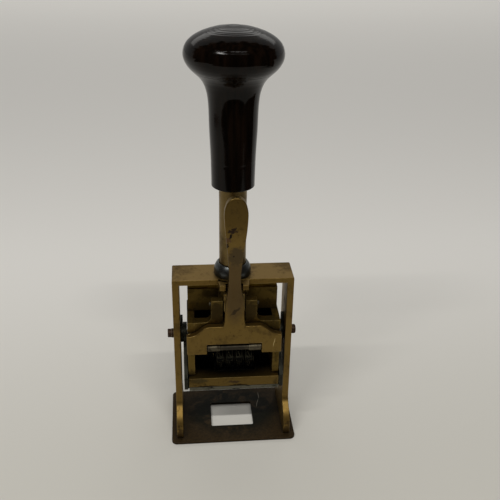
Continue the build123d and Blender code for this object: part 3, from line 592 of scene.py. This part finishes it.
def stand_in(name, mesh, *nodes):
    """A piece that stands for CAD nodes: on their body, with their slot and its material."""
    source = frame["nodes"][nodes[0]]
    slot = source.data.materials[0].name
    piece = bpy.data.objects.new(name, mesh)
    scene.collection.objects.link(piece)
    mesh.materials.clear()
    mesh.materials.append(finish_of(slot))
    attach(piece, body_of(source)[0])
    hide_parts(*nodes)
    return piece


def smooth(mesh):
    """Shade all the faces of a mesh smooth."""
    for face in mesh.polygons:
        face.use_smooth = True
    return mesh


def dressed(node, edge=0.2, segments=3):
    """The node's own shape, with whole flat faces and a small round on each sharp edge."""
    bm = bmesh.new()
    bm.from_mesh(frame["nodes"][node].data)
    bmesh.ops.remove_doubles(bm, verts=bm.verts, dist=1e-6)
    bmesh.ops.dissolve_limit(bm, angle_limit=math.radians(0.05), verts=bm.verts, edges=bm.edges)
    mesh = bpy.data.meshes.new(f"{node}_form")
    bm.to_mesh(mesh)
    bm.free()
    piece = stand_in(f"{node}_form", smooth(mesh), node)
    bevel = piece.modifiers.new("edge", "BEVEL")
    bevel.width = edge * MM
    bevel.segments = segments
    bevel.limit_method = "ANGLE"
    bevel.angle_limit = math.radians(35)
    bevel.use_clamp_overlap = False
    bevel.harden_normals = True
    piece.modifiers.new("shading", "WEIGHTED_NORMAL")
    return piece


def lathe_rings(bm, profile, place, steps):
    """Turn a closed profile of (radius, height) points about Z, then put it in place."""
    rings = []
    for radius, height in profile:
        if radius < 1e-9:
            rings.append([bm.verts.new(place @ Vector((0, 0, height)))] * steps)
            continue
        angles = [2 * math.pi * i / steps for i in range(steps)]
        points = [Vector((radius * math.cos(a), radius * math.sin(a), height)) for a in angles]
        rings.append([bm.verts.new(place @ point) for point in points])
    for lower, upper in zip(rings, rings[1:] + rings[:1]):
        for i in range(steps):
            j = (i + 1) % steps
            corners = [lower[i], lower[j], upper[j], upper[i]]
            face = list(dict.fromkeys(corners))
            if len(face) > 2:
                bm.faces.new(face)


def wire(name, points, radius):
    """Round wire along a list of points, as a closed mesh."""
    curve = bpy.data.curves.new(name, "CURVE")
    curve.dimensions = "3D"
    curve.bevel_depth = radius * MM
    curve.bevel_resolution = 4
    curve.use_fill_caps = True
    line = curve.splines.new("POLY")
    line.points.add(len(points) - 1)
    for spot, point in zip(line.points, points):
        spot.co = (*(Vector(point) * MM), 1)
    holder = bpy.data.objects.new(name, curve)
    mesh = bpy.data.meshes.new_from_object(holder)
    mesh.name = name
    bpy.data.objects.remove(holder)
    bpy.data.curves.remove(curve)
    return smooth(mesh)


def smooth_line(points, spacing):
    """Even points along the smooth curve through a list of points."""
    ends = [points[0]] + points + [Vector((-points[-2].x, points[-2].y))]
    fine = []
    for a, b, c, d in zip(ends, ends[1:], ends[2:], ends[3:]):
        for i in range(10):
            t = i / 10
            bend = (2 * a - 5 * b + 4 * c - d) * t ** 2 + (3 * b - a - 3 * c + d) * t ** 3
            fine.append(b + ((c - a) * t + bend) / 2)
    fine.append(points[-1])
    even = [fine[0]]
    for point in fine[1:-1]:
        if (point - even[-1]).length > spacing:
            even.append(point)
    return even + [fine[-1]]


def make_handle():
    """Palm handle turned from the CAD outline, with a fine turned line."""
    skin = {}
    for vertex in frame["nodes"]["handle"].data.vertices:
        radius, height = math.hypot(vertex.co.x, vertex.co.y) / MM, round(vertex.co.z / MM, 1)
        if radius > 1.2 * TUBE_R or height > TUBE_TOP + 20:
            skin[height] = max(skin.get(height, 0.0), radius)
    heights = sorted(skin)
    low = heights[0]
    rings = [Vector((skin[height], height)) for height in heights if height == low or height > low + 0.05]
    outline = [Vector((TUBE_R, low))]
    for point in smooth_line(rings, 0.12):
        point.x -= HANDLE_LINE_DEPTH * math.exp(-((point.y - HANDLE_LINE_Z) / HANDLE_LINE_HALF) ** 2)
        outline.append(point)
    outline[-1].x = 0.0
    outline += [Vector((0, TUBE_TOP)), Vector((TUBE_R, TUBE_TOP))]
    bm = bmesh.new()
    lathe_rings(bm, [tuple(point * MM) for point in outline], Matrix(), 128)
    bmesh.ops.recalc_face_normals(bm, faces=bm.faces)
    mesh = bpy.data.meshes.new("handle_turned")
    bm.to_mesh(mesh)
    bm.free()
    smooth(mesh)
    mesh.set_sharp_from_angle(angle=math.radians(50))
    stand_in("handle_turned", mesh, "handle")


def make_return_spring():
    """Coil spring inside the tube, at its rest length."""
    points = []
    per_turn = 24
    count = SPRING_TURNS * per_turn
    for i in range(count + 1):
        turn = 2 * math.pi * i / per_turn
        height = SPRING_BOTTOM + (SPRING_TOP - SPRING_BOTTOM) * i / count
        points.append((SPRING_COIL_R * math.cos(turn), SPRING_COIL_R * math.sin(turn), height))
    piece = stand_in("return_coil", wire("return_coil", points, SPRING_WIRE), "return_spring")
    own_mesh(piece)


def make_lever_spring():
    """Torsion spring between the lever's ears, one leg behind the stem and one on the shoulder."""
    per_turn = 24
    shoulder_leg = (-3.45, LEVER_PIN_Y + LEVER_COIL_R, SHOULDER_TOP + 0.3)
    stem_leg = (2.9, LEVER_PIN_Y - LEVER_COIL_R, LEVER_PIN_Z - 4.4)
    coil = []
    for i in range(round(LEVER_TURNS * per_turn) + 1):
        turn = 2 * math.pi * i / per_turn
        x = LEVER_PITCH * (i / per_turn - LEVER_TURNS / 2)
        y = LEVER_PIN_Y + LEVER_COIL_R * math.cos(turn)
        coil.append((x, y, LEVER_PIN_Z + LEVER_COIL_R * math.sin(turn)))
    mesh = wire("lever_coil", [shoulder_leg, *coil, stem_leg], LEVER_WIRE)
    stand_in("lever_coil", mesh, "lever_spring")


def digit_mesh(digit):
    """One raised digit, drawn flat in X and Y, centred, with its own small chamfer."""
    text = bpy.data.curves.new(f"digit_{digit}", "FONT")
    text.body = str(digit)
    text.size = DIGIT_SIZE * MM
    text.align_x = "CENTER"
    text.align_y = "CENTER"
    text.extrude = DIGIT_RAISE * MM
    text.bevel_depth = 0.05 * MM
    text.resolution_u = 6
    holder = bpy.data.objects.new("digit", text)
    mesh = bpy.data.meshes.new_from_object(holder)
    bpy.data.objects.remove(holder)
    bpy.data.curves.remove(text)
    return mesh


def wrap(bm, mesh, x, angle, base):
    """Bend a flat mesh round the wheel, a little narrower. Its foot stands on base, and its Y runs
    round the rim."""
    points = [v.co for v in mesh.vertices]
    middle = (min(p.y for p in points) + max(p.y for p in points)) / 2
    across = (min(p.x for p in points) + max(p.x for p in points)) / 2
    foot = min(p.z for p in points)
    start = len(bm.verts)
    bm.from_mesh(mesh)
    bm.verts.ensure_lookup_table()
    for vertex in bm.verts[start:]:
        radius = base * MM + vertex.co.z - foot
        turn = angle + (vertex.co.y - middle) / (base * MM)
        side = x + (vertex.co.x - across) * TYPE_NARROW
        vertex.co = Vector((side, radius * math.sin(turn), -radius * math.cos(turn)))


def type_body(width, length, depth):
    """Flat bevelled block that a digit stands on, cut into slices so that it bends."""
    bm = bmesh.new()
    bmesh.ops.create_cube(bm, size=1.0)
    bmesh.ops.scale(bm, vec=Vector((width, length, depth)) * MM, verts=bm.verts)
    bmesh.ops.bevel(bm, geom=bm.edges, offset=0.18 * MM, segments=2, affect="EDGES", profile=0.5)
    slices = 6
    for i in range(1, slices):
        y = (i / slices - 0.5) * length * MM
        plane = {"plane_co": (0, y, 0), "plane_no": (0, 1, 0)}
        bmesh.ops.bisect_plane(bm, geom=bm.verts[:] + bm.edges[:] + bm.faces[:], **plane)
    mesh = bpy.data.meshes.new("type_body")
    bm.to_mesh(mesh)
    bm.free()
    return mesh


def ratchet(bm, x0, x1):
    """Saw-toothed disc on the wheel's right side, as a closed ring."""
    slope = ((0.0, RATCHET_ROOT_R), (0.41, (RATCHET_ROOT_R + RATCHET_R) / 2), (0.82, RATCHET_R))
    rings = []
    for x in (x0, x1):
        outer, inner = [], []
        for tooth in range(DIGITS):
            for part, radius in slope:
                turn = 2 * math.pi * (tooth + part) / DIGITS
                spoke = Vector((0, math.cos(turn), math.sin(turn)))
                outer.append(bm.verts.new(Vector((x, 0, 0)) * MM + spoke * radius * MM))
                inner.append(bm.verts.new(Vector((x, 0, 0)) * MM + spoke * BORE_R * MM))
        rings.append((outer, inner))
    (outer0, inner0), (outer1, inner1) = rings
    count = len(outer0)
    for i in range(count):
        j = (i + 1) % count
        bm.faces.new((outer0[i], outer0[j], outer1[j], outer1[i]))
        bm.faces.new((inner1[i], inner1[j], inner0[j], inner0[i]))
        bm.faces.new((inner0[i], inner0[j], outer0[j], outer0[i]))
        bm.faces.new((outer1[i], outer1[j], inner1[j], inner1[i]))


def make_number_wheel(number, digits, block):
    """Number wheel: chamfered drum, ten type bodies with raised digits, and its ratchet."""
    node = f"number_wheel_{number}"
    lo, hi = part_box(node)
    left = lo.x / MM
    axis = (lo + hi) / 2
    bm = bmesh.new()
    on_its_side = Matrix.Rotation(math.radians(90), 4, "Y")
    edge = 0.25
    profile = [(BORE_R, 0), (DRUM_R - edge, 0), (DRUM_R, edge), (DRUM_R, DRUM_W - edge),
               (DRUM_R - edge, DRUM_W), (BORE_R, DRUM_W)]
    profile = [(r * MM, h * MM) for r, h in profile]
    lathe_rings(bm, profile, on_its_side, 80)
    ratchet(bm, DRUM_W, DRUM_W + RATCHET_W)
    middle = DRUM_W / 2 * MM
    for digit in range(DIGITS):
        angle = 2 * math.pi * digit / DIGITS
        wrap(bm, block, middle, angle, DRUM_R - TYPE_BODY_SINK)
        wrap(bm, digits[digit], middle, angle, TYPE_BODY_R - DIGIT_SINK)
    bmesh.ops.recalc_face_normals(bm, faces=bm.faces)
    bmesh.ops.translate(bm, vec=Vector((left * MM, axis.y, axis.z)), verts=bm.verts)
    mesh = bpy.data.meshes.new(f"type_wheel_{number}")
    bm.to_mesh(mesh)
    bm.free()
    smooth(mesh)
    mesh.set_sharp_from_angle(angle=math.radians(32))
    stand_in(f"type_wheel_{number}", mesh, node)


def make_ink_pad():
    """Felt pad: soft corners, a lightly felted top and a trough worn by the type."""
    lo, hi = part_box("ink_pad")
    size, middle = hi - lo, (lo + hi) / 2
    bm = bmesh.new()
    bmesh.ops.create_cube(bm, size=2.0)
    bmesh.ops.subdivide_edges(bm, edges=bm.edges, cuts=30, use_grid_fill=True)
    soft = PAD_SOFT_R * MM
    for vertex in bm.verts:
        place = Vector([vertex.co[i] * size[i] / 2 for i in range(3)])
        core = Vector([max(-size[i] / 2 + soft, min(size[i] / 2 - soft, place[i])) for i in range(3)])
        out = place - core
        if out.length > soft:
            out = out.normalized() * soft
        vertex.co = middle + core + out
        if vertex.co.z > middle.z:
            across = (vertex.co.y / MM - PAD_TROUGH_Y) / PAD_TROUGH_HALF
            worn = PAD_TROUGH_DEPTH * MM * math.exp(-across ** 2)
            lumps = PAD_LUMP * MM * (1 + noise.noise(vertex.co * 900))
            vertex.co.z -= worn + lumps
    mesh = bpy.data.meshes.new("felt_pad")
    bm.to_mesh(mesh)
    bm.free()
    stand_in("felt_pad", smooth(mesh), "ink_pad")


def make_wheels():
    """The four number wheels, which share their digits and type bodies."""
    digits = [digit_mesh(digit) for digit in range(DIGITS)]
    block = type_body(TYPE_BODY_W, TYPE_BODY_L, TYPE_BODY_R - DRUM_R + TYPE_BODY_SINK)
    for number in range(1, 5):
        make_number_wheel(number, digits, block)


def make_castings():
    """The machined pieces, each with the edge round that its size takes."""
    rounds = {
        "base_plate": 0.22, "frame_yoke": 0.28, "foot_screws": 0.06, "lever_guide": 0.25,
        "guide_bush": 0.15, "buffer_ring": 0.1, "stop_pin": 0.1, "spring_seat": 0.1,
        "plunger_tube": 0.15, "tube_plug": 0.2, "head_block": 0.2, "carriage_front": 0.25,
        "right_cheek": 0.25, "left_cheek": 0.25, "cheek_screws": 0.05, "wheel_axle": 0.2,
        "rear_plate": 0.2, "rear_screws": 0.12, "lever_pin": 0.1, "side_pin_right": 0.12,
        "side_pin_left": 0.12, "wear_plate_right": 0.15, "wear_plate_left": 0.15,
        "detent_spring": 0.08, "detent_screws": 0.12, "ink_tray": 0.18, "tray_plate": 0.15, "right_arm": 0.2,
        "left_arm": 0.2, "cam_followers": 0.15, "arm_screws": 0.2, "thumb_lever": 0.5,
        "pawl_rod": 0.2, "pawl_comb": 0.12,
    }
    for node, edge in rounds.items():
        dressed(node, edge)


add_camera()
add_floor()
add_dark_room()
add_lights()
make_castings()
make_handle()
make_return_spring()
make_lever_spring()
make_wheels()
make_ink_pad()
